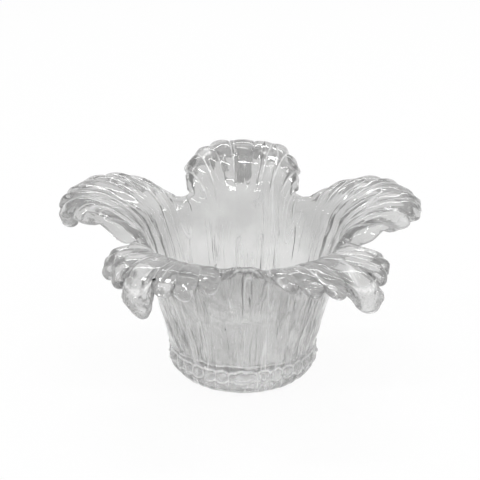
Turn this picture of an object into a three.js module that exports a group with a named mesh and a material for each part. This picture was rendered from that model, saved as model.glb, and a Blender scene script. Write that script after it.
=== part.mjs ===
// Candle holder of clear pressed glass: a fluted cup on a thick foot, with five leaves that flare from the
// rim, arch over and end in a hanging tongue. Millimetres, +Z up. The origin is the middle of the flat
// underside, and the front is -Y, where a notch between two leaves faces the viewer.
import * as THREE from 'three';

// Foot: a thick disc that stands out a little beyond the cup, with a round lower edge and upright panels
const FOOT_HEIGHT = 14;
const FOOT_LEDGE = 0.4;
const FOOT_EDGE_INSET = 9;
const FOOT_EDGE_HEIGHT = 9;
const FOOT_BEAD = 1.6;
const FOOT_PANEL_DEPTH = 0.9;

// Cup: the outside of the wall runs from the foot to the rim, bowed inwards a little between them
const CUP_FOOT_RADIUS = 34;
const CUP_HEIGHT = 50;
const RIM_RADIUS = 47.5;
const WALL_BOW = 0.6;
const WALL_AT_FOOT = 5;
const WALL_AT_RIM = 4.4;
const FLUTE_DEPTH = 0.5;

// Leaf, measured from the middle of the rim's wall: the arch along its middle line
const LEAF_UPRIGHT = 9;
const SHOULDER_REACH = 39;
const SHOULDER_RISE = 27.5;
const TIP_REACH = 37.3;
const TIP_RISE = -0.3;
const LEAF_EDGE = 6;
const LOBE_GROOVE = 0.8;
const LOBE_DEPTH = 5;
const TONGUE_LENGTH = 9.5;

// Notch between two leaves, measured the same way
const NOTCH_SHOULDER_REACH = 2;
const NOTCH_SHOULDER_RISE = 4.7;
const NOTCH_REACH = 4;
const NOTCH_RISE = 5.3;

// Gap left where one piece stands on the next, and between neighbouring leaves
const SEAM = 0.3;

// The leaves were bent by hand while hot: each has its own share of the arch's rise and reach, and its tongue
// may lean sideways, in degrees. They stand evenly round the rim.
const LEAVES = [
  { name: 'leaf_back', rise: 1.33, reach: 1.02, lean: 1 },
  { name: 'leaf_left', rise: 1.07, reach: 1.08, lean: 0 },
  { name: 'leaf_front_left', rise: 0.64, reach: 0.97, lean: 6 },
  { name: 'leaf_front_right', rise: 0.53, reach: 0.99, lean: 2 },
  { name: 'leaf_right', rise: 0.97, reach: 1.03, lean: 1.5 },
];
const BACK = Math.PI / 2;
const SECTOR = (2 * Math.PI) / LEAVES.length;

// Across a sector, u runs from -1 at one notch through 0 at the leaf's middle to 1 at the next notch.
// The lines where panels, flutes and lobes meet are places along u, repeated on the other side of the middle.
// The foot's panels run on up the outside of the cup as flutes. Inside, the flutes are broader.
const PANEL_LINES = [0.14, 0.42, 0.7];
const INSIDE_LINES = [0.42, 0.7];
const LOBE_LINES = [0.12, 0.28, 0.45, 0.63];
const NOTCH_START = 0.77;
const REACH_EASE = 2.6;
const RISE_EASE = 3;
const LEAF_FAN = 0.16;
const FAN_FULL = 0.6;
const LOBES_FULL = 0.5;
const RISE_AT_TIP = 0.3;
const TONGUE_BLUNTNESS = 0.4;
const BASE_BLEND = 0.12;

// How finely the surfaces are divided: shares of each panel across, and of each wall or arch upwards
const PANEL_STEPS = [0, 0.25, 0.5, 0.75];
const LOBE_STEPS = [0, 0.1, 0.3, 0.5, 0.7, 0.9];
const NOTCH_STEPS = [0, 0.3, 0.65];
const EDGE_STEPS = 3;
const WALL_STEPS = 5;
const ARCH_STEPS = [0, 0.1, 0.22, 0.35, 0.48, 0.61, 0.74, 0.87, 1];
const PROBE = 1e-3;

const FOOT_RADIUS = CUP_FOOT_RADIUS + FOOT_LEDGE;
const RIM_HEIGHT = FOOT_HEIGHT + CUP_HEIGHT;
const LEAF_BASE = RIM_HEIGHT + SEAM;
const RIM_MIDDLE = RIM_RADIUS - WALL_AT_RIM / 2;
const WALL_LEAN = (RIM_RADIUS - CUP_FOOT_RADIUS + 4 * WALL_BOW) / CUP_HEIGHT;

const { lerp, smoothstep, degToRad } = THREE.MathUtils;

// Height of the rounded face of the panel that u is in: 0 on the lines at its sides, 1 along its middle.
function crown(u, lines) {
  const place = Math.abs(u);
  const edges = [-lines[0], ...lines, 2 - lines.at(-1)];
  const next = edges.findIndex((edge) => edge > place);
  const share = (place - edges[next - 1]) / (edges[next] - edges[next - 1]);
  return 1 - (2 * share - 1) ** 2;
}

// Places across panels whose edges are given, at the given shares of each panel.
function columns(edges, steps) {
  return edges.slice(0, -1).flatMap((edge, i) => steps.map((step) => lerp(edge, edges[i + 1], step)));
}

// Both sides of the middle, from one notch line to the other.
function mirrored(lines) {
  return [...lines.map((line) => -line).reverse(), ...lines];
}

// Places right round the holder, as pairs of u and angle.
function roundColumns(lines) {
  const across = columns([...mirrored(lines), 2 - lines.at(-1)], PANEL_STEPS);
  return LEAVES.flatMap((_, i) => across.map((u) => ({
    u: u > 1 ? u - 2 : u,
    angle: BACK + i * SECTOR + (u * SECTOR) / 2,
  })));
}

// A closed mesh from a list of points and a list of faces with three or four corners.
function closedMesh(name, points, faces) {
  const index = faces.flatMap(([a, b, c, d]) => (d === undefined ? [a, b, c] : [a, b, c, a, c, d]));
  const geometry = new THREE.BufferGeometry().setFromPoints(points);
  geometry.setIndex(index);
  geometry.computeVertexNormals();
  const glass = new THREE.MeshStandardMaterial({ color: 0xd9dcdb, roughness: 0.06, metalness: 0 });
  const mesh = new THREE.Mesh(geometry, glass);
  mesh.name = name;
  return mesh;
}

// Faces between neighbouring strips of points, where each strip is a loop of the same length.
function skin(strips, length, closed) {
  const faces = [];
  for (let i = 0; i < (closed ? strips : strips - 1); i += 1) {
    for (let k = 0; k < length; k += 1) {
      const here = i * length;
      const there = ((i + 1) % strips) * length;
      const after = (k + 1) % length;
      faces.push([here + k, there + k, there + after, here + after]);
    }
  }
  return faces;
}

// Radius of the outside of the cup's wall at a height, and the thickness of the wall there.
function wallRadius(z) {
  const share = (z - FOOT_HEIGHT) / CUP_HEIGHT;
  return lerp(CUP_FOOT_RADIUS, RIM_RADIUS, share) - 4 * WALL_BOW * share * (1 - share);
}

function wallThickness(z) {
  return lerp(WALL_AT_FOOT, WALL_AT_RIM, (z - FOOT_HEIGHT) / CUP_HEIGHT);
}

function makeFoot() {
  const rings = [];
  for (let i = 0; i <= EDGE_STEPS; i += 1) {
    const turn = (i / EDGE_STEPS) * (Math.PI / 2);
    const radius = FOOT_RADIUS - FOOT_EDGE_INSET * (1 - Math.sin(turn));
    rings.push({ radius, z: FOOT_EDGE_HEIGHT * (1 - Math.cos(turn)), cut: i / EDGE_STEPS });
  }
  rings.push({ radius: FOOT_RADIUS, z: FOOT_HEIGHT - FOOT_BEAD, cut: 1 });
  rings.push({ radius: FOOT_RADIUS, z: FOOT_HEIGHT - FOOT_BEAD / 2, cut: 0 });
  rings.push({ radius: FOOT_RADIUS - FOOT_BEAD / 2, z: FOOT_HEIGHT, cut: 0 });
  const places = roundColumns(PANEL_LINES);
  const points = places.flatMap(({ u, angle }) => rings.map(({ radius, z, cut }) => {
    const r = radius - FOOT_PANEL_DEPTH * cut * (1 - crown(u, PANEL_LINES));
    return new THREE.Vector3(r * Math.cos(angle), r * Math.sin(angle), z);
  }));
  const underside = points.push(new THREE.Vector3(0, 0, 0)) - 1;
  const floor = points.push(new THREE.Vector3(0, 0, FOOT_HEIGHT)) - 1;
  const faces = [];
  const top = rings.length - 1;
  for (let i = 0; i < places.length; i += 1) {
    const here = i * rings.length;
    const there = ((i + 1) % places.length) * rings.length;
    faces.push([underside, there, here], [floor, here + top, there + top]);
    for (let k = 0; k < top; k += 1) {
      faces.push([here + k, there + k, there + k + 1, here + k + 1]);
    }
  }
  return closedMesh('foot', points, faces);
}

function makeCup() {
  const heights = [];
  for (let i = 0; i <= WALL_STEPS; i += 1) {
    heights.push(lerp(FOOT_HEIGHT + SEAM, RIM_HEIGHT, i / WALL_STEPS));
  }
  const places = roundColumns(PANEL_LINES);
  const points = places.flatMap(({ u, angle }) => {
    const cut = (lines) => FLUTE_DEPTH * (1 - crown(u, lines));
    const at = (r, z) => new THREE.Vector3(r * Math.cos(angle), r * Math.sin(angle), z);
    const outside = heights.map((z) => at(wallRadius(z) - cut(PANEL_LINES), z));
    const inside = heights.map((z) => at(wallRadius(z) - wallThickness(z) + cut(INSIDE_LINES), z));
    return [...outside, ...inside.reverse()];
  });
  return closedMesh('cup', points, skin(places.length, 2 * heights.length, true));
}

// How far the leaf has shrunk at u: 0 along its middle, 1 at the notch.
function shrinkAt(u, ease) {
  return Math.min(1, Math.abs(u) / NOTCH_START) ** ease;
}

// The arch of a leaf at u, as a curve of radius and height. It shrinks to the low rim of the notch.
function leafArch(leaf, u) {
  const shorter = shrinkAt(u, REACH_EASE);
  const lower = shrinkAt(u, RISE_EASE);
  const upright = LEAF_UPRIGHT * lerp(leaf.rise, 1, lower);
  const shoulder = SHOULDER_RISE * leaf.rise;
  const tip = TIP_RISE + RISE_AT_TIP * (shoulder - SHOULDER_RISE);
  const from = (reach, rise) => new THREE.Vector2(RIM_MIDDLE + reach, LEAF_BASE + rise);
  return new THREE.CubicBezierCurve(
    from(0, 0),
    from(upright * WALL_LEAN, upright),
    from(lerp(SHOULDER_REACH * leaf.reach, NOTCH_SHOULDER_REACH, shorter),
      lerp(shoulder, NOTCH_SHOULDER_RISE, lower)),
    from(lerp(TIP_REACH * leaf.reach, NOTCH_REACH, shorter), lerp(tip, NOTCH_RISE, lower)),
  );
}

// A point on the middle of the leaf's thickness: u across the sector, t along the arch.
function leafPoint(leaf, u, t) {
  const { x: r, y: z } = leafArch(leaf, u).getPoint(t);
  const inner = 1 - u * u;
  const fan = 1 + LEAF_FAN * smoothstep(t, 0, FAN_FULL) * inner;
  const angle = (SECTOR / 2) * u * fan + degToRad(leaf.lean) * t * t * inner;
  return new THREE.Vector3(r * Math.cos(angle), r * Math.sin(angle), z);
}

// How the leaf's surface runs there: along the arch, and square to the surface on the outside.
function leafDirections(leaf, u, t) {
  const change = (du, dt) => leafPoint(leaf, u + du, t + dt).sub(leafPoint(leaf, u - du, t - dt));
  const along = change(0, PROBE).normalize();
  const outward = change(PROBE, 0).cross(along);
  outward.z *= smoothstep(t, 0, BASE_BLEND);
  return { along, outward: outward.normalize() };
}

// Share of the arch that the leaf's margin leaves standing: round lobes, and the longer tongue in the middle.
function marginShare(u, middleLength) {
  const tongue = Math.max(0, 1 - (u / LOBE_LINES[0]) ** 2) ** TONGUE_BLUNTNESS;
  const lobe = Math.abs(u) < LOBE_LINES.at(-1) ? Math.sqrt(crown(u, LOBE_LINES)) : 0;
  return 1 - (TONGUE_LENGTH * (1 - tongue) + LOBE_DEPTH * (1 - lobe)) / middleLength;
}

// Half of the leaf's thickness: round lobes with grooves between them, which run into the cup's flutes on
// that side. The rim of the notch keeps the thickness of the wall.
function leafHalf(u, t, fluteLines) {
  const shape = lerp(crown(u, fluteLines), crown(u, LOBE_LINES), smoothstep(t, 0, LOBES_FULL));
  const edge = lerp(LEAF_EDGE, WALL_AT_RIM, shrinkAt(u, REACH_EASE));
  return lerp(WALL_AT_RIM, edge, t) / 2 - lerp(FLUTE_DEPTH, LOBE_GROOVE, t) * (1 - shape);
}

function makeLeaf(leaf) {
  const side = 1 - SEAM / RIM_MIDDLE / SECTOR;
  const last = LOBE_LINES.at(-1);
  const places = [
    ...columns([-side, -last], NOTCH_STEPS),
    ...columns(mirrored(LOBE_LINES), LOBE_STEPS),
    ...columns([last, side], NOTCH_STEPS),
    side,
  ];
  const middleLength = leafArch(leaf, 0).getLength();
  const points = places.flatMap((u) => {
    const outside = [];
    const inside = [];
    const end = marginShare(u, middleLength);
    ARCH_STEPS.forEach((step) => {
      const middle = leafPoint(leaf, u, step * end);
      const { outward } = leafDirections(leaf, u, step * end);
      outside.push(middle.clone().addScaledVector(outward, leafHalf(u, step * end, PANEL_LINES)));
      inside.push(middle.clone().addScaledVector(outward, -leafHalf(u, step * end, INSIDE_LINES)));
    });
    const margin = leafPoint(leaf, u, end)
      .addScaledVector(leafDirections(leaf, u, end).along, leafHalf(u, end, PANEL_LINES));
    return [...outside, margin, ...inside.reverse()];
  });
  const length = 2 * ARCH_STEPS.length + 1;
  const faces = skin(places.length, length, false);
  const farSide = (places.length - 1) * length;
  for (let k = 0; k < ARCH_STEPS.length - 1; k += 1) {
    const loop = [k, k + 1, length - 2 - k, length - 1 - k];
    faces.push(loop, loop.map((corner) => farSide + corner).reverse());
  }
  const tip = ARCH_STEPS.length;
  const cap = [tip - 1, tip, tip + 1];
  faces.push(cap, cap.map((corner) => farSide + corner).reverse());
  return closedMesh(leaf.name, points, faces);
}

const holder = new THREE.Group();
holder.add(makeFoot(), makeCup());
LEAVES.forEach((leaf, i) => {
  const mesh = makeLeaf(leaf);
  mesh.rotation.z = BACK + i * SECTOR;
  holder.add(mesh);
});

export default holder;
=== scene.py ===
# Looks of the candle holder of clear pressed glass: a fluted cup on a thick foot, with five leaves that
# flare from the rim, arch over and end in a hanging tongue. Metres, +Z up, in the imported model's frame.
import math
from collections import namedtuple

import bpy
import numpy as np
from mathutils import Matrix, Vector


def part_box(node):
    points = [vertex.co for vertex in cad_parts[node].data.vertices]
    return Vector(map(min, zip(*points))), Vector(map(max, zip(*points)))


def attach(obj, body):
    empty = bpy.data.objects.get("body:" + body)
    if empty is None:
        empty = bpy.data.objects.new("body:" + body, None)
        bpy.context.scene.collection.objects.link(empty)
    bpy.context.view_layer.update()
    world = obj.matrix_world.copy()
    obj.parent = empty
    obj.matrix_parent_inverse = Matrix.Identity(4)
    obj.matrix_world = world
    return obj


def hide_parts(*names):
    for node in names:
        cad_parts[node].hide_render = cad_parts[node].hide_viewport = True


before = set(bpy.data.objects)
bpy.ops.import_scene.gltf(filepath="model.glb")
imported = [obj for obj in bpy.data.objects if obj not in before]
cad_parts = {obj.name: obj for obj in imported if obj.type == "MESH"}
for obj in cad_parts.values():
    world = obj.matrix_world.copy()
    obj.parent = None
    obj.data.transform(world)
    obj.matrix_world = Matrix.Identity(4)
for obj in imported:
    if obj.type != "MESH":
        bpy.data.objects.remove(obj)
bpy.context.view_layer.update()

MM = 0.001
GLASS_SLOT = "clear_glass"

# Sizes that the frame gives
FOOT_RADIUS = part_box("foot")[1].y
FOOT_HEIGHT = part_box("foot")[1].z
RIM_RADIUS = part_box("cup")[1].y
RIM_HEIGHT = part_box("cup")[1].z

# Foot: a round lower edge, and upright panels with ribs between them and a sagging bar below each.
# The panels end under the cup at a line that is scalloped and jagged and stands out as a small ridge.
FOOT_EDGE_INSET = 9 * MM
FOOT_EDGE_HEIGHT = 9 * MM
FOOT_PANEL_DEPTH = 0.9 * MM
RIB_HEIGHT = 0.9 * MM
RIB_HALF_WIDTH = 0.6 * MM
BAR_HEIGHT = 0.7 * MM
BAR_HALF_WIDTH = 0.5 * MM
BAR_PLACE = 9.5 * MM
BAR_SAG = 1.1 * MM
LINE_SCALLOP = 1.1 * MM
LINE_JAG = 0.15 * MM
JAG_COUNTS = (23, 37, 52)
LINE_RIDGE = 0.45 * MM
LINE_HALF_WIDTH = 0.6 * MM
LINE_PULL = 5 * MM

# Cup: the wall between the foot and the rim, and the cove between the wall and the floor of the well
CUP_INSET = 0.4 * MM
CUP_FOOT_RADIUS = FOOT_RADIUS - CUP_INSET
WALL_BOW = 0.6 * MM
WALL_AT_FOOT = 5 * MM
WALL_AT_RIM = 4.4 * MM
FLUTE_DEPTH = 0.5 * MM
FINE_FLUTES = 60
FINE_FLUTE_DEPTH = 0.1 * MM
COVE = 4 * MM

# Leaf, measured from the middle of the rim's wall: the arch along its middle line, lobes and tongue
LEAF_UPRIGHT = 12.5 * MM
SHOULDER_REACH = 39 * MM
SHOULDER_RISE = 26.2 * MM
TIP_REACH = 37.3 * MM
TIP_RISE = -0.3 * MM
LEAF_EDGE = 6 * MM
LOBE_GROOVE = 0.8 * MM
LOBE_DEPTH = 5 * MM
LOBE_SWELL = 0.5 * MM
LOBE_JITTER = 1.6 * MM
TONGUE_LENGTH = 9.5 * MM
ROOT_DEPTH = 0.5 * MM

# Notch between two leaves, measured the same way
NOTCH_UPRIGHT = 3 * MM
NOTCH_SHOULDER_REACH = 1.3 * MM
NOTCH_SHOULDER_RISE = 4.2 * MM
NOTCH_REACH = 2.4 * MM
NOTCH_RISE = 5.3 * MM
NOTCH_DIP = 0.8 * MM

# The leaves stand evenly round the rim. Each was bent by hand while hot, to its own share of the arch's
# rise and reach, and its tongue leans sideways by some degrees. In millimetres, a tip may droop more or
# less than the others, and on the side towards the front the glass beside the notch may hang lower and
# the lobes may be lifted.
LEAVES = [
    {"node": "leaf_back", "rise": 1.33, "reach": 1.02, "lean": 1},
    {"node": "leaf_left", "rise": 1.07, "reach": 1.08, "lean": 0, "droop": 1, "hang": 3.5, "lift": 3},
    {"node": "leaf_front_left", "rise": 0.64, "reach": 0.97, "lean": 6, "droop": -2},
    {"node": "leaf_front_right", "rise": 0.53, "reach": 0.99, "lean": 2},
    {"node": "leaf_right", "rise": 0.97, "reach": 1.03, "lean": 1.5, "hang": 4.5},
]
BACK = math.pi / 2
SECTOR = 2 * math.pi / len(LEAVES)
SEAM = 0.3 * MM
LEAF_BASE = RIM_HEIGHT + SEAM
RIM_MIDDLE = RIM_RADIUS - WALL_AT_RIM / 2
WALL_LEAN = (RIM_RADIUS - CUP_FOOT_RADIUS + 4 * WALL_BOW) / (RIM_HEIGHT - FOOT_HEIGHT)

# Across a sector, u runs from -1 at one notch through 0 at the leaf's middle to 1 at the next notch.
# Panels, flutes and lobes meet on these lines, repeated on the other side of the middle.
PANEL_LINES = [0.14, 0.42, 0.7]
INSIDE_LINES = [0.42, 0.7]
LOBE_LINES = [0.12, 0.28, 0.45, 0.63]

# How the leaf narrows towards the notch, and where across it the glass hangs or is lifted
NOTCH_START = 0.79
NOTCH_SOFTNESS = 0.15
REACH_EASE = 2.6
RISE_EASE = 3
NOTCH_EASE = 6
HANG_RANGE = (0.55, 0.75, 0.8, 1)
LIFT_RANGE = (0.3, 0.45, 0.62, 0.75)

# How the leaf's forms grow along its arch, from 0 at the rim to 1 at the tip
BEND_RANGE = (0.2, 0.8)
SWELL_RANGE = (0.55, 0.85)
LEAF_FAN = 0.16
FAN_FULL = 0.6
LOBES_FULL = 0.5
RISE_AT_TIP = 0.3
TONGUE_BLUNTNESS = 0.2
BASE_BLEND = 0.35
BASE_BLEND_NOTCH = 0.6

# How finely the surface is divided: the columns' step in u, numbers of rows, rows at shares of the radius
# on the underside and the floor of the well, and rows at heights about the foot's line
COLUMN_STEP = 0.018
EDGE_ROWS = 30
WALL_ROWS = 26
LEAF_ROWS = 50
MARGIN_ROWS = 9
COVE_ROWS = 8
BEND_ROWS = 10
UNDERSIDE_SHARES = (0, 0.3, 0.6, 0.85, 0.97)
WELL_SHARES = (1, 0.95, 0.85, 0.65, 0.4, 0.2, 0)
LINE_ROWS_BELOW = np.array([-3, -2.6, -2.2, -1.8, -1.5, -1.2, -0.9, -0.6, -0.3, 0]) * MM
LINE_ROWS_ABOVE = np.array([0, 0.3, 0.6, 0.9, 1.2, 1.6, 2.3, 3.2]) * MM
LENGTH_STEPS = 201
PROBE = 1e-3
SAME_POINT = 1e-9

# Waviness of the hot glass: lengths and height of the ripples, and of the lumps along the leaves' margin.
# Ripples fade out and lumps fade in over these numbers of rows on both sides of the margin.
WAVE_LENGTHS = np.array([26, 19, 14, 11, 8]) * MM
WAVE_HEIGHT = 0.09 * MM
WAVE_FREE_HEIGHT = 3 * MM
CALM_ROWS = 14
LUMP_LENGTHS = np.array([13, 10, 8, 6]) * MM
LUMP_HEIGHT = 0.3 * MM
LUMP_ROWS = 24
UNEVEN = (0.2, 1)
PHASES = (0, 6)
SEED = 11

# Painted light on the leaves: white that stands in for highlights along the rim of the notches, the lines
# between the lobes and the roots of the tongues, and that lightens the margins and the tongues where the
# thick glass renders dark. How strong it is, and where, in rows from the margin
PAINTED_LIGHT_MARGIN = 0.28
PAINTED_LIGHT_NOTCH = 0.12
PAINTED_HIGHLIGHT_RIM = 0.9
PAINTED_LIGHT_TONGUE = 0.35
RIM_HIGHLIGHT_HALF_WIDTH = 1.2
VEIN_HIGHLIGHT_ROWS = (6, 16, 34, 46)
TONGUE_LIGHT_ROWS = (8, 14)
ROOT_ROW = 12
ROOT_HALF_WIDTH = 1.5

# What the mesh hands to the material: coordinates that flow with the glass, drawn out along it, and how
# much painted light it carries, which is white that stands in for highlights and for light on places that
# render dark. Inside the larger of these radii the coordinates pass into plain places.
FLOW = "flow"
PAINTED_LIGHT = "painted_light"
STREAK_STRETCH = 7
FLOW_RANGE = (0.5 * CUP_FOOT_RADIUS, 0.85 * CUP_FOOT_RADIUS)

# Photograph: the camera's place about a point of the holder, how far from the middle of the picture that
# point is, in pixels, and how large the holder is there
VIEW_POINT = Vector((0, 0, 45 * MM))
VIEW_ELEVATION = math.radians(24)
VIEW_DISTANCE = 550 * MM
IMAGE_SIZE = 480
POINT_RIGHT = 3
POINT_DOWN = 37
PIXELS_PER_METRE = 2180
SENSOR = 36


def lerp(a, b, share):
    return a + (b - a) * share


def smoothstep(x, low, high):
    share = np.clip((x - low) / (high - low), 0, 1)
    return share * share * (3 - 2 * share)


def hump(x, start, full, fade, end):
    """1 between full and fade, falling to 0 at start and end."""
    return smoothstep(x, start, full) * (1 - smoothstep(x, fade, end))


def crown(u, lines):
    """Height of the rounded panel that u is in: 0 on the lines at its sides, 1 along its middle."""
    place = np.abs(u)
    edges = np.array([-lines[0], *lines, 2 - lines[-1]])
    after = np.clip(np.searchsorted(edges, place, side="right"), 1, len(edges) - 1)
    share = (place - edges[after - 1]) / (edges[after] - edges[after - 1])
    return 1 - (2 * share - 1) ** 2


def sector_columns():
    """Places across one sector, with a column on every line where panels, flutes or lobes meet."""
    lines = sorted({0, 1, *PANEL_LINES, *INSIDE_LINES, *LOBE_LINES})
    half = []
    for start, end in zip(lines, lines[1:]):
        steps = math.ceil((end - start) / COLUMN_STEP)
        half.extend(np.linspace(start, end, steps, endpoint=False))
    half = np.array(half)
    return np.concatenate([[-1], -half[:0:-1], half])


SECTOR_U = sector_columns()
COLUMNS = len(SECTOR_U)


def per_column(name):
    """One property of the leaves, for every column. A leaf that doesn't name it has 0."""
    return np.repeat([leaf.get(name, 0) for leaf in LEAVES], COLUMNS)


# For every column round the holder: its place across its sector, its angles, and its leaf's properties
U = np.tile(SECTOR_U, len(LEAVES))
LEAF = np.repeat(np.arange(len(LEAVES)), COLUMNS)
MIDDLE_ANGLE = BACK + SECTOR * LEAF
ANGLE = MIDDLE_ANGLE + U * SECTOR / 2
FRONT_SIDE = np.sin(ANGLE) < np.sin(MIDDLE_ANGLE)
ON_TONGUE = np.abs(U) < LOBE_LINES[0]
RISE = per_column("rise")
REACH = per_column("reach")
LEAN = np.radians(per_column("lean"))
DROOP = per_column("droop") * MM
HANG = per_column("hang") * MM * FRONT_SIDE
LIFT = per_column("lift") * MM * FRONT_SIDE
PANEL_CROWN = crown(U, PANEL_LINES)
INSIDE_CROWN = crown(U, INSIDE_LINES)
LOBE_CROWN = crown(U, LOBE_LINES)
RANDOM = np.random.default_rng(SEED)


def fine_cut():
    """Depth of the fine flutes of the cup's outside, which are pressed unevenly."""
    place = (ANGLE - ANGLE[0]) / (2 * math.pi) * FINE_FLUTES
    number = np.floor(place).astype(int) % FINE_FLUTES
    share = place - np.floor(place)
    return FINE_FLUTE_DEPTH * RANDOM.uniform(*UNEVEN, FINE_FLUTES)[number] * (2 * share - 1) ** 2


def foot_line():
    """Height of the line between the foot and the cup."""
    jag = sum(np.sin(count * ANGLE + RANDOM.uniform(*PHASES)) for count in JAG_COUNTS)
    return FOOT_HEIGHT + LINE_SCALLOP * (PANEL_CROWN - 1) + LINE_JAG * jag


FINE_CUT = fine_cut()
FOOT_LINE = foot_line()


def ring(radius, z):
    """One row of points right round the holder."""
    radius = np.broadcast_to(radius, U.shape)
    z = np.broadcast_to(z, U.shape)
    return np.stack([radius * np.cos(ANGLE), radius * np.sin(ANGLE), z], axis=-1)


def wall_radius(z):
    share = (z - FOOT_HEIGHT) / (RIM_HEIGHT - FOOT_HEIGHT)
    return lerp(CUP_FOOT_RADIUS, RIM_RADIUS, share) - 4 * WALL_BOW * share * (1 - share)


def wall_thickness(z):
    return lerp(WALL_AT_FOOT, WALL_AT_RIM, (z - FOOT_HEIGHT) / (RIM_HEIGHT - FOOT_HEIGHT))


def outside_radius(z):
    """Outside of the foot and the cup: the foot's panels up to its line, and the flutes above it."""
    panel = FOOT_RADIUS - FOOT_PANEL_DEPTH * (1 - PANEL_CROWN)
    fade = hump(z, FOOT_HEIGHT, FOOT_HEIGHT + LINE_PULL, RIM_HEIGHT - LINE_PULL, RIM_HEIGHT)
    flute = wall_radius(z) - FLUTE_DEPTH * (1 - PANEL_CROWN) - fade * FINE_CUT
    from_line = (z - FOOT_LINE) / LINE_HALF_WIDTH
    return lerp(panel, flute, smoothstep(from_line, -1, 1)) + LINE_RIDGE * np.exp(-from_line ** 2)


def foot_rows():
    """From the middle of the underside, round the lower edge and up the panels to the foot's line."""
    flat = FOOT_RADIUS - FOOT_EDGE_INSET
    rows = [ring(flat * share, 0) for share in UNDERSIDE_SHARES]
    for turn in np.linspace(0, math.pi / 2, EDGE_ROWS):
        cut = FOOT_PANEL_DEPTH * turn / (math.pi / 2) * (1 - PANEL_CROWN)
        radius = FOOT_RADIUS - FOOT_EDGE_INSET * (1 - math.sin(turn)) - cut
        rows.append(ring(radius, FOOT_EDGE_HEIGHT * (1 - math.cos(turn))))
    for above in LINE_ROWS_BELOW:
        z = FOOT_LINE + above
        rows.append(ring(outside_radius(z), z))
    return rows


def outer_wall_rows():
    """From the foot's line up the outside of the cup to the rim."""
    rows = []
    for above in LINE_ROWS_ABOVE:
        z = FOOT_LINE + above
        rows.append(ring(outside_radius(z), z))
    for height in np.linspace(FOOT_HEIGHT + LINE_PULL, LEAF_BASE, WALL_ROWS):
        rows.append(ring(outside_radius(height), height))
    return rows


def inside_radius(z):
    return wall_radius(z) - wall_thickness(z) + FLUTE_DEPTH * (1 - INSIDE_CROWN)


def inner_wall_rows():
    """From the rim down the inside of the cup and through the cove to the floor of the well."""
    rows = []
    for height in np.linspace(LEAF_BASE, FOOT_HEIGHT + COVE, WALL_ROWS):
        rows.append(ring(inside_radius(height), height))
    for turn in np.linspace(0, math.pi / 2, COVE_ROWS)[1:]:
        radius = inside_radius(FOOT_HEIGHT + COVE) - COVE * (1 - math.cos(turn))
        rows.append(ring(radius, FOOT_HEIGHT + COVE * (1 - math.sin(turn))))
    return rows


def floor_rows():
    """The floor of the well, from the cove to its middle."""
    edge = inside_radius(FOOT_HEIGHT + COVE) - COVE
    return [ring(edge * share, FOOT_HEIGHT) for share in WELL_SHARES]


def shrink(u, ease):
    """How far the leaf has shrunk at u: about 0 along its middle, and about 1 at the notch."""
    left = 1 - (np.abs(u) / NOTCH_START) ** ease
    return 1 - (left + np.hypot(left, NOTCH_SOFTNESS)) / 2


def leaf_middle(u, t):
    """Points on the middle of the leaf's thickness: u across the sector, t along the arch."""
    shorter = shrink(u, REACH_EASE)
    lower = shrink(u, RISE_EASE)
    upright = lerp(LEAF_UPRIGHT * RISE, NOTCH_UPRIGHT, lower)
    shoulder = SHOULDER_RISE * RISE
    droop = DROOP * np.exp(-(u / LOBE_LINES[0]) ** 2)
    tip = TIP_RISE + RISE_AT_TIP * (shoulder - SHOULDER_RISE) - droop
    reach = [
        0,
        upright * WALL_LEAN,
        lerp(SHOULDER_REACH * REACH, NOTCH_SHOULDER_REACH, shorter),
        lerp(TIP_REACH * REACH, NOTCH_REACH, shorter),
    ]
    rise = [0, upright, lerp(shoulder, NOTCH_SHOULDER_RISE, lower), lerp(tip, NOTCH_RISE, lower)]
    weights = [(1 - t) ** 3, 3 * t * (1 - t) ** 2, 3 * t ** 2 * (1 - t), t ** 3]
    radius = RIM_MIDDLE + sum(w * p for w, p in zip(weights, reach))
    z = LEAF_BASE + sum(w * p for w, p in zip(weights, rise))
    bend = LIFT * hump(np.abs(u), *LIFT_RANGE) - HANG * hump(np.abs(u), *HANG_RANGE)
    z = z + bend * smoothstep(t, *BEND_RANGE)
    z = z - NOTCH_DIP * smoothstep(np.abs(u), NOTCH_START, 1) * t
    inner = 1 - u * u
    fan = 1 + LEAF_FAN * smoothstep(t, 0, FAN_FULL) * inner
    angle = MIDDLE_ANGLE + SECTOR / 2 * u * fan + LEAN * t * t * inner
    return np.stack([radius * np.cos(angle), radius * np.sin(angle), z], axis=-1)


def unit(vectors):
    return vectors / np.linalg.norm(vectors, axis=-1, keepdims=True)


def leaf_directions(t):
    """How the leaf's surface runs: along the arch, and square to the surface on the outside."""
    along = unit(leaf_middle(U, t + PROBE) - leaf_middle(U, t - PROBE))
    across = leaf_middle(U + PROBE, t) - leaf_middle(U - PROBE, t)
    outward = unit(np.cross(across, along))
    outward[..., 2] *= smoothstep(t, 0, lerp(BASE_BLEND, BASE_BLEND_NOTCH, shrink(U, REACH_EASE)))
    return along, unit(outward)


def leaf_half(t, flute_crown):
    """Half of the leaf's thickness: the cup's flutes pass into round lobes with grooves between them."""
    shape = lerp(flute_crown, LOBE_CROWN, smoothstep(t, 0, LOBES_FULL))
    at_notch = shrink(U, REACH_EASE)
    edge = lerp(LEAF_EDGE, WALL_AT_RIM, at_notch)
    swell = LOBE_SWELL * LOBE_CROWN * smoothstep(t, *SWELL_RANGE) * (1 - at_notch)
    return lerp(WALL_AT_RIM, edge, t) / 2 - lerp(FLUTE_DEPTH, LOBE_GROOVE, t) * (1 - shape) + swell


def middle_lengths():
    """Length of each leaf's arch along its middle line, for every column."""
    steps = np.linspace(0, 1, LENGTH_STEPS)
    points = np.array([leaf_middle(np.zeros_like(U), t) for t in steps])
    return np.linalg.norm(np.diff(points, axis=0), axis=-1).sum(axis=0)


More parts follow.
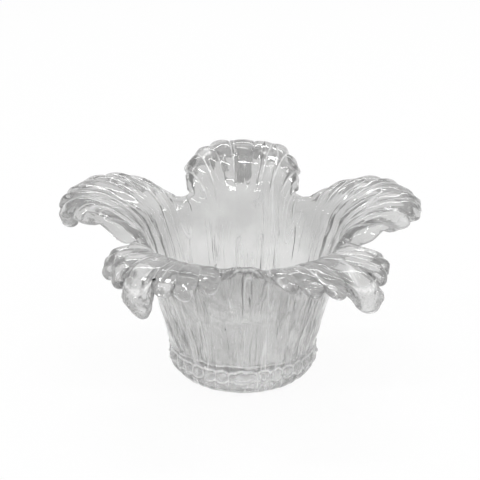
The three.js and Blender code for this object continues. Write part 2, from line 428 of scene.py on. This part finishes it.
def lobe_jitter():
    """Small differences in the length of the lobes, as in glass that was shaped by hand."""
    lobe = np.digitize(U, [-line for line in reversed(LOBE_LINES)] + LOBE_LINES)
    lengths = RANDOM.uniform(-1, 1, (len(LEAVES), 2 * len(LOBE_LINES) + 1)) * LOBE_JITTER
    return lengths[LEAF, lobe]


def margin_share():
    """Share of the arch at which the leaf ends: round lobes, and the longer tongue in the middle."""
    tongue = np.maximum(0, 1 - (U / LOBE_LINES[0]) ** 2) ** TONGUE_BLUNTNESS
    lobe = np.where(np.abs(U) < LOBE_LINES[-1], np.sqrt(np.maximum(0, LOBE_CROWN)), 0)
    shorter = TONGUE_LENGTH * (1 - tongue) + LOBE_DEPTH * (1 - lobe) + lobe_jitter() * lobe
    return 1 - shorter / middle_lengths()


def leaf_rows():
    """From the rim up the outside of the leaves, round their margin and down the inside to the rim."""
    end = margin_share()
    outside = []
    inside = []
    for step in np.linspace(0, 1, LEAF_ROWS):
        t = step * end
        middle = leaf_middle(U, t)
        _, outward = leaf_directions(t)
        outside.append(middle + outward * leaf_half(t, PANEL_CROWN)[:, None])
        inside.append(middle - outward * leaf_half(t, INSIDE_CROWN)[:, None])
    middle = leaf_middle(U, end)
    along, outward = leaf_directions(end)
    half = leaf_half(end, PANEL_CROWN)[:, None]
    margin = []
    for turn in np.linspace(0, math.pi, MARGIN_ROWS + 2)[1:-1]:
        margin.append(middle + half * (outward * math.cos(turn) + along * math.sin(turn)))
    return outside + margin + inside[::-1]


def soften_bend(grid, border):
    """Rounds the bend where the wall passes into the leaves, by averages of the rows on both sides."""
    softer = grid.copy()
    for row in range(border - BEND_ROWS, border + BEND_ROWS + 1):
        width = BEND_ROWS - abs(row - border)
        softer[row] = grid[row - width:row + width + 1].mean(axis=0)
    return softer


Borders = namedtuple("Borders", "start foot_top rim inner_rim floor_edge middle")


def joined_rows():
    """All rows as one grid, and the rows where one part of the glass passes into the next."""
    parts = [foot_rows(), outer_wall_rows(), leaf_rows(), inner_wall_rows(), floor_rows()]
    grid = np.array(parts[0])
    ends = [0, len(grid) - 1]
    for rows in parts[1:]:
        grid = np.concatenate([grid, rows[1:]])
        ends.append(len(grid) - 1)
    borders = Borders(*ends)
    grid = soften_bend(grid, borders.rim)
    return soften_bend(grid, borders.inner_rim), borders


def grid_normals(grid):
    """Normals of a grid of points that closes on itself across its columns."""
    across = np.roll(grid, -1, axis=1) - np.roll(grid, 1, axis=1)
    upwards = np.gradient(grid, axis=0)
    normals = np.cross(across, upwards)
    normals[0] = (0, 0, -1)
    normals[-1] = (0, 0, 1)
    return unit(normals)


def waves(grid, lengths):
    """Sum of plane waves of the given lengths at each point, in directions of their own."""
    directions = unit(RANDOM.normal(size=(len(lengths), 3)))
    phases = RANDOM.uniform(*PHASES, len(lengths))
    return np.sin((grid @ directions.T) * (2 * math.pi / lengths) + phases).sum(axis=-1)


def waviness(grid, margin, from_margin):
    """How far the ripples of the glass and the lumps of the leaves' margin shift each point outwards."""
    shift = np.concatenate([waves(grid[:margin], WAVE_LENGTHS), waves(grid[margin:], WAVE_LENGTHS)])
    shift *= WAVE_HEIGHT * smoothstep(from_margin, 0, CALM_ROWS)
    lumps = LUMP_HEIGHT * (1 - shrink(U, NOTCH_EASE)) * (1 - smoothstep(from_margin, 0, LUMP_ROWS))
    shift += lumps * waves(grid, LUMP_LENGTHS)
    return shift * smoothstep(grid[..., 2], 0, WAVE_FREE_HEIGHT)


def foot_relief(grid):
    """Share of their height that the ribs between the foot's panels and the bars below them have."""
    z = grid[..., 2]
    across = np.min([np.abs(np.abs(U) - line) for line in PANEL_LINES], axis=0)
    from_line = across * SECTOR / 2 * FOOT_RADIUS
    fade = 1 - smoothstep(z, FOOT_LINE - LINE_HALF_WIDTH, FOOT_LINE)
    rib = np.exp(-(from_line / RIB_HALF_WIDTH) ** 2) * smoothstep(z, 0, BAR_PLACE)
    bar = np.exp(-((z - BAR_PLACE + BAR_SAG * PANEL_CROWN) / BAR_HALF_WIDTH) ** 2)
    return rib * fade, bar * fade


def painted_margin_light(from_margin):
    """Painted light on the leaves' margin, which lightens it where the thick rounded glass renders dark,
    and a painted highlight in a thin line along the rim of the notches.
    """
    at_notch = shrink(U, NOTCH_EASE)
    # Painted light that lightens the margin, weaker towards the notches, and a painted highlight along the
    # rim of the notches
    painted_edge_light = lerp(PAINTED_LIGHT_MARGIN, PAINTED_LIGHT_NOTCH, at_notch) * (1 - smoothstep(from_margin, 0, CALM_ROWS))
    painted_rim_highlight = PAINTED_HIGHLIGHT_RIM * at_notch * np.exp(-(from_margin / RIM_HIGHLIGHT_HALF_WIDTH) ** 2)
    return np.maximum(painted_edge_light, painted_rim_highlight)


def painted_vein_and_tongue_light(from_margin):
    """Painted highlights along the lines between the lobes, which are uneven, and painted light on the
    tongues.
    """
    vein_highlight = hump(from_margin, *VEIN_HIGHLIGHT_ROWS) * np.isin(np.abs(U), LOBE_LINES)
    vein_highlight = vein_highlight * RANDOM.uniform(*UNEVEN, len(U))
    # Painted light on the tongues
    tongue = PAINTED_LIGHT_TONGUE * ON_TONGUE * (1 - smoothstep(from_margin, *TONGUE_LIGHT_ROWS))
    return np.maximum(vein_highlight, tongue)


def glass_surface():
    """The whole surface: its points, normals and painted light, and the rows where its parts meet."""
    grid, borders = joined_rows()
    margin = (borders.rim + borders.inner_rim) // 2
    from_margin = np.abs(np.arange(len(grid)) - margin)[:, None]
    foot = slice(borders.foot_top + 1)
    outside = slice(borders.rim)
    inside = slice(margin, borders.inner_rim)
    rib, bar = foot_relief(grid[foot])
    root = np.exp(-((from_margin[inside] - ROOT_ROW) / ROOT_HALF_WIDTH) ** 2) * ON_TONGUE

    shift = waviness(grid, margin, from_margin)
    shift[foot] += np.maximum(RIB_HEIGHT * rib, BAR_HEIGHT * bar)
    shift[inside] -= ROOT_DEPTH * root
    shift[-1] = 0

    # Painted light: white that stands in for highlights along the rim of the notches, the lines between the
    # lobes, the roots of the tongues, the foot's line and its ribs and bars, and that lightens the margins
    # and tongues where the glass renders dark
    painted_light = painted_margin_light(from_margin)
    painted_light[inside] = np.max([painted_light[inside], painted_vein_and_tongue_light(from_margin[inside]), root], axis=0)
    painted_light[outside] = np.exp(-((grid[outside, :, 2] - FOOT_LINE) / LINE_HALF_WIDTH) ** 2)
    painted_light[foot] = np.max([painted_light[foot], rib, bar], axis=0)

    grid = grid + grid_normals(grid) * shift[..., None]
    return grid, grid_normals(grid), painted_light, borders


def flow_coordinates(grid):
    """Coordinates that follow the glass round the holder and, drawn out, along its walls and leaves. On
    the floor of the well and the underside they are plain places, so that no streaks meet in the middle."""
    steps = np.linalg.norm(np.diff(grid, axis=0), axis=-1)
    length = np.concatenate([np.zeros((1, grid.shape[1])), np.cumsum(steps, axis=0)])
    radius = np.hypot(grid[..., 0], grid[..., 1])
    spread = lerp(radius, RIM_RADIUS, smoothstep(radius, *FLOW_RANGE))
    return np.stack([spread * np.cos(ANGLE), spread * np.sin(ANGLE), length / STREAK_STRETCH], axis=-1)


def without_repeats(quads, points):
    """The quads as faces, with three corners where two of the four are the same point."""
    sides = points[quads] - points[np.roll(quads, -1, axis=1)]
    repeated = np.linalg.norm(sides, axis=-1) < SAME_POINT
    pointed = repeated.any(axis=1)
    triangles = [quad[~same].tolist() for quad, same in zip(quads[pointed], repeated[pointed])]
    return quads[~pointed].tolist() + triangles


def glass_piece(node, layers, patches, material):
    """A piece made of stretches of the surface's rows and columns, which stands for a CAD node. The layers
    are the surface's points, normals, flow coordinates and painted light. Column numbers may run on past
    the last one."""
    picked = []
    quads = []
    start = 0
    for first_row, last_row, first_column, columns in patches:
        rows = np.arange(first_row, last_row + 1)
        around = np.arange(first_column, first_column + columns) % len(U)
        picked.append(layers[:, rows][:, :, around].reshape(len(layers), -1, 3))
        corner = start + np.arange(len(rows) - 1)[:, None] * columns + np.arange(columns - 1)
        corners = [corner, corner + 1, corner + columns + 1, corner + columns]
        quads.append(np.stack(corners, axis=-1).reshape(-1, 4))
        start += len(rows) * columns
    points, normals, flow, painted_light = np.concatenate(picked, axis=1)
    mesh = bpy.data.meshes.new(f"{node}_glass")
    mesh.from_pydata(points.tolist(), [], without_repeats(np.concatenate(quads), points))
    mesh.shade_smooth()
    mesh.normals_split_custom_set_from_vertices(normals.tolist())
    mesh.attributes.new(FLOW, "FLOAT_VECTOR", "POINT").data.foreach_set("vector", flow.ravel())
    mesh.attributes.new(PAINTED_LIGHT, "FLOAT_VECTOR", "POINT").data.foreach_set("vector", painted_light.ravel())
    mesh.materials.append(material)
    piece = bpy.data.objects.new(f"{node}_glass", mesh)
    bpy.context.collection.objects.link(piece)
    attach(piece, "root")
    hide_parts(node)


# Glass. A noise is its scale per metre and its number of finer layers, and broken lines are the scale
# of the lines and of what breaks them.
GLASS_IOR = 1.5
CLEAR_TRANSMISSION = 0.84
# Painted light: where it lies, the glass lets less light through and turns nearly white, which stands in
# for highlights and lightens places that render dark. A fine noise breaks it into painted sparkles, and
# broken lines along the glass are painted highlight lines.
PAINTED_LIGHT_TRANSMISSION = 0.3
PAINTED_HIGHLIGHT_COLOUR = (0.98, 0.98, 0.98, 1)
SPARKLE_NOISE = (800, 1)
SPARKLE_RANGE = (0.35, 0.6)
SPARKLE_SHARES = (0.6, 1)
VEIN_HIGHLIGHT_LINES = (85, 55)
VEIN_HIGHLIGHT_SHARE = 0.5

# Painted grey, which stands in for the darker surroundings seen through the clear glass: its colours and
# their places on the noise, which is shifted with the height, lighter low down where the thick foot renders
# darker and deeper towards the leaves
PAINTED_GREY_NOISE = (40, 3)
PAINTED_GREY_COLOURS = ((0.63, 0.63, 0.625, 1), (0.87, 0.87, 0.865, 1))
PAINTED_GREY_PLACES = (0.3, 0.7)
PAINTED_GREY_HEIGHTS = (0.7 * RIM_HEIGHT, 1.05 * RIM_HEIGHT)
PAINTED_GREY_SHIFTS = (0.15, -0.15)

# Polish: places with some roughness
POLISH_NOISE = (90, 4)
POLISH_RANGE = (0.45, 0.8)
ROUGHNESS = (0.02, 0.1)

# Relief in the material, each with its depth
SLOW_NOISE = (70, 1)
SLOW_DEPTH = 0.5 * MM
STREAK_NOISE = (330, 2)
STREAK_DEPTH = 0.12 * MM
RELIEF_LINES = (105, 60)
RELIEF_LINE_DEPTH = 0.26 * MM
STIPPLE_NOISE = (350, 1)
STIPPLE_DEPTH = 0.4 * MM
STIPPLE_HEIGHTS = (0.35 * FOOT_HEIGHT, 0.6 * FOOT_HEIGHT)
PIT_NOISE = (900, 2)
PIT_DEPTH = 0.02 * MM

# Broken lines are the contours of a noise at its middle, shown where another noise is high
CONTOUR = 0.5
CONTOUR_HALF_WIDTH = 0.025
SHOWN_RANGE = (0.38, 0.5)

# Places of a colour mix's sockets, which share their names with those of other mixes
MIX_FACTOR = 0
MIX_FIRST = 6
MIX_SECOND = 7
MIX_RESULT = 2


def maths(tree, operation, first, second):
    """Result of one sum. The first value is linked, and the second is linked or a number."""
    node = tree.nodes.new("ShaderNodeMath")
    node.operation = operation
    tree.links.new(first, node.inputs[0])
    if isinstance(second, bpy.types.NodeSocket):
        tree.links.new(second, node.inputs[1])
    else:
        node.inputs[1].default_value = second
    return node.outputs["Value"]


def mapped(tree, value, given, wanted):
    """A value brought from the given range to the wanted one, and held to it."""
    node = tree.nodes.new("ShaderNodeMapRange")
    node.inputs["From Min"].default_value, node.inputs["From Max"].default_value = given
    node.inputs["To Min"].default_value, node.inputs["To Max"].default_value = wanted
    tree.links.new(value, node.inputs["Value"])
    return node.outputs["Result"]


def noise(tree, coordinates, scale, detail):
    texture = tree.nodes.new("ShaderNodeTexNoise")
    texture.inputs["Scale"].default_value = scale
    texture.inputs["Detail"].default_value = detail
    tree.links.new(coordinates, texture.inputs["Vector"])
    return texture.outputs["Fac"]


def attribute(tree, name):
    node = tree.nodes.new("ShaderNodeAttribute")
    node.attribute_name = name
    return node.outputs


def broken_lines(tree, along, place, scale, break_scale):
    """Thin lines that run with the glass, shown only here and there."""
    from_contour = maths(tree, "SUBTRACT", noise(tree, along, scale, 1), CONTOUR)
    distance = maths(tree, "ABSOLUTE", from_contour, 0)
    contour = mapped(tree, distance, (0, CONTOUR_HALF_WIDTH), (1, 0))
    shown = mapped(tree, noise(tree, place, break_scale, 1), SHOWN_RANGE, (0, 1))
    return maths(tree, "MULTIPLY", contour, shown)


def glass_colour(tree, place, height, painted_light):
    """Painted grey that stands in for the darker surroundings seen through the clear glass, uneven, lighter
    low down and deeper towards the leaves, with painted light in nearly white lines over it.
    """
    # Painted grey, lighter low down where the thick foot renders darker, and deeper towards the leaves
    shift = mapped(tree, height, PAINTED_GREY_HEIGHTS, PAINTED_GREY_SHIFTS)
    painted_lightness = maths(tree, "ADD", noise(tree, place, *PAINTED_GREY_NOISE), shift)
    painted_grey = tree.nodes.new("ShaderNodeValToRGB")
    for element, position, colour in zip(painted_grey.color_ramp.elements, PAINTED_GREY_PLACES, PAINTED_GREY_COLOURS):
        element.position = position
        element.color = colour
    tree.links.new(painted_lightness, painted_grey.inputs["Fac"])
    # Painted highlights: the painted light turns the grey nearly white
    mix = tree.nodes.new("ShaderNodeMix")
    mix.data_type = "RGBA"
    tree.links.new(painted_light, mix.inputs[MIX_FACTOR])
    tree.links.new(painted_grey.outputs["Color"], mix.inputs[MIX_FIRST])
    mix.inputs[MIX_SECOND].default_value = PAINTED_HIGHLIGHT_COLOUR
    return mix.outputs[MIX_RESULT]


def glass_relief(tree, place, along, height):
    """Slow waves, streaks and broken lines along walls and leaves, a stippled lower edge and fine pits."""
    low = mapped(tree, height, STIPPLE_HEIGHTS, (1, 0))
    stipple = maths(tree, "MULTIPLY", noise(tree, place, *STIPPLE_NOISE), low)
    layers = [
        (noise(tree, place, *SLOW_NOISE), SLOW_DEPTH),
        (noise(tree, along, *STREAK_NOISE), STREAK_DEPTH),
        (broken_lines(tree, along, place, *RELIEF_LINES), RELIEF_LINE_DEPTH),
        (stipple, STIPPLE_DEPTH),
        (noise(tree, place, *PIT_NOISE), PIT_DEPTH),
    ]
    normal = None
    for pattern, depth in layers:
        bump = tree.nodes.new("ShaderNodeBump")
        bump.inputs["Distance"].default_value = depth
        tree.links.new(pattern, bump.inputs["Height"])
        if normal:
            tree.links.new(normal, bump.inputs["Normal"])
        normal = bump.outputs["Normal"]
    return normal


def glass_material():
    """Clear glass with painted grey that stands in for the surroundings seen through it, a small diffuse
    share that makes it a little milky, painted light in nearly white lines and sparkles, and places that
    are polished less.
    """
    material = bpy.data.materials.new(GLASS_SLOT)
    material.use_nodes = True
    tree = material.node_tree
    shader = tree.nodes["Principled BSDF"].inputs
    shader["IOR"].default_value = GLASS_IOR
    place = tree.nodes.new("ShaderNodeTexCoord").outputs["Object"]
    along = attribute(tree, FLOW)["Vector"]
    split = tree.nodes.new("ShaderNodeSeparateXYZ")
    tree.links.new(place, split.inputs["Vector"])
    height = split.outputs["Z"]

    # Painted light, broken into sparkles, with painted highlight lines along the glass
    sparkle_breakup = mapped(tree, noise(tree, place, *SPARKLE_NOISE), SPARKLE_RANGE, SPARKLE_SHARES)
    broken_painted_light = maths(tree, "MULTIPLY", attribute(tree, PAINTED_LIGHT)["Fac"], sparkle_breakup)
    vein_highlights = maths(tree, "MULTIPLY", broken_lines(tree, along, place, *VEIN_HIGHLIGHT_LINES), VEIN_HIGHLIGHT_SHARE)
    painted_light = maths(tree, "MAXIMUM", broken_painted_light, vein_highlights)
    transmission = mapped(tree, painted_light, (0, 1), (CLEAR_TRANSMISSION, PAINTED_LIGHT_TRANSMISSION))
    polish = mapped(tree, noise(tree, place, *POLISH_NOISE), POLISH_RANGE, ROUGHNESS)

    tree.links.new(transmission, shader["Transmission Weight"])
    tree.links.new(glass_colour(tree, place, height, painted_light), shader["Base Color"])
    tree.links.new(polish, shader["Roughness"])
    tree.links.new(glass_relief(tree, place, along, height), shader["Normal"])
    return material


def build_holder():
    """The seven pieces of glass, cut from one surface along its borders."""
    grid, normals, painted_light, borders = glass_surface()
    layers = np.array([grid, normals, flow_coordinates(grid), np.repeat(painted_light[..., None], 3, axis=-1)])
    material = glass_material()
    around = len(U) + 1
    underside_and_panels = (borders.start, borders.foot_top, 0, around)
    well_floor = (borders.floor_edge, borders.middle, 0, around)
    outer_wall = (borders.foot_top, borders.rim, 0, around)
    inner_wall = (borders.inner_rim, borders.floor_edge, 0, around)
    glass_piece("foot", layers, [underside_and_panels, well_floor], material)
    glass_piece("cup", layers, [outer_wall, inner_wall], material)
    for i, leaf in enumerate(LEAVES):
        both_sides = (borders.rim, borders.inner_rim, i * COLUMNS, COLUMNS + 1)
        glass_piece(leaf["node"], layers, [both_sides], material)


# Stage: a white floor, a plain grey room and soft lamps
FLOOR_RADIUS = 6
FLOOR_SIDES = 96
FLOOR_DROP = 0.2 * MM
FLOOR_COLOUR = (0.9, 0.9, 0.9, 1)
FLOOR_WHITE = 0.93
ROOM_HORIZON = (0.55, 0.55, 0.55, 1)
ROOM_TOP = (0.75, 0.75, 0.75, 1)


def make_floor():
    """White floor that the camera and the glass see as white, with the holder's faint shadow on it."""
    bpy.ops.mesh.primitive_circle_add(vertices=FLOOR_SIDES, radius=FLOOR_RADIUS, fill_type="NGON",
                                      location=(0, 0, -FLOOR_DROP))
    floor = bpy.context.object
    floor.name = "floor"
    material = bpy.data.materials.new("white_floor")
    material.use_nodes = True
    tree = material.node_tree
    tree.nodes.remove(tree.nodes["Principled BSDF"])
    diffuse = tree.nodes.new("ShaderNodeBsdfDiffuse")
    diffuse.inputs["Color"].default_value = FLOOR_COLOUR
    white = tree.nodes.new("ShaderNodeEmission")
    path = tree.nodes.new("ShaderNodeLightPath").outputs
    seen = maths(tree, "MAXIMUM", path["Is Camera Ray"], path["Is Glossy Ray"])
    seen = maths(tree, "MAXIMUM", seen, path["Is Transmission Ray"])
    mix = tree.nodes.new("ShaderNodeMixShader")
    tree.links.new(maths(tree, "MULTIPLY", seen, FLOOR_WHITE), mix.inputs["Fac"])
    tree.links.new(diffuse.outputs["BSDF"], mix.inputs[1])
    tree.links.new(white.outputs["Emission"], mix.inputs[2])
    tree.links.new(mix.outputs["Shader"], tree.nodes["Material Output"].inputs["Surface"])
    floor.data.materials.append(material)


def make_room():
    """Plain grey room, lighter overhead."""
    world = bpy.data.worlds.new("room")
    bpy.context.scene.world = world
    world.use_nodes = True
    tree = world.node_tree
    direction = tree.nodes.new("ShaderNodeTexCoord").outputs["Generated"]
    split = tree.nodes.new("ShaderNodeSeparateXYZ")
    tree.links.new(direction, split.inputs["Vector"])
    ramp = tree.nodes.new("ShaderNodeValToRGB")
    ramp.color_ramp.elements[0].color = ROOM_HORIZON
    ramp.color_ramp.elements[1].color = ROOM_TOP
    tree.links.new(split.outputs["Z"], ramp.inputs["Fac"])
    tree.links.new(ramp.outputs["Color"], tree.nodes["Background"].inputs["Color"])


def add_lamp(name, place, size, watts):
    """Soft rectangular lamp that faces the holder."""
    light = bpy.data.lights.new(name, "AREA")
    light.shape = "RECTANGLE"
    light.size, light.size_y = size
    light.energy = watts
    lamp = bpy.data.objects.new(name, light)
    lamp.location = place
    lamp.rotation_euler = (VIEW_POINT - Vector(place)).to_track_quat("-Z", "Y").to_euler()
    bpy.context.collection.objects.link(lamp)


def make_lamps():
    add_lamp("overhead", place=(0, 0.15, 1.0), size=(0.5, 0.06), watts=2)
    add_lamp("front", place=(0.1, -0.7, 0.9), size=(0.4, 0.05), watts=1)
    add_lamp("left", place=(-0.8, -0.35, 0.7), size=(0.05, 0.4), watts=1.5)
    add_lamp("right", place=(0.8, -0.2, 0.6), size=(0.05, 0.4), watts=1)
    add_lamp("back", place=(0.1, 0.9, 0.7), size=(1.0, 0.05), watts=1.5)


def make_camera():
    """Camera at the photograph's viewing angle, aimed so that the view point lies where it does there."""
    camera = bpy.data.cameras.new("camera")
    camera.sensor_width = SENSOR
    camera.lens = SENSOR * PIXELS_PER_METRE * VIEW_DISTANCE / IMAGE_SIZE
    viewer = bpy.data.objects.new("camera", camera)
    right = Vector((1, 0, 0))
    up = Vector((0, math.sin(VIEW_ELEVATION), math.cos(VIEW_ELEVATION)))
    back = Vector((0, -math.cos(VIEW_ELEVATION), math.sin(VIEW_ELEVATION)))
    aim = VIEW_POINT + (up * POINT_DOWN - right * POINT_RIGHT) / PIXELS_PER_METRE
    viewer.location = VIEW_POINT + back * VIEW_DISTANCE
    viewer.rotation_euler = (aim - viewer.location).to_track_quat("-Z", "Y").to_euler()
    bpy.context.collection.objects.link(viewer)
    bpy.context.scene.camera = viewer


build_holder()
make_floor()
make_room()
make_lamps()
make_camera()
bpy.context.scene.view_settings.view_transform = "Standard"
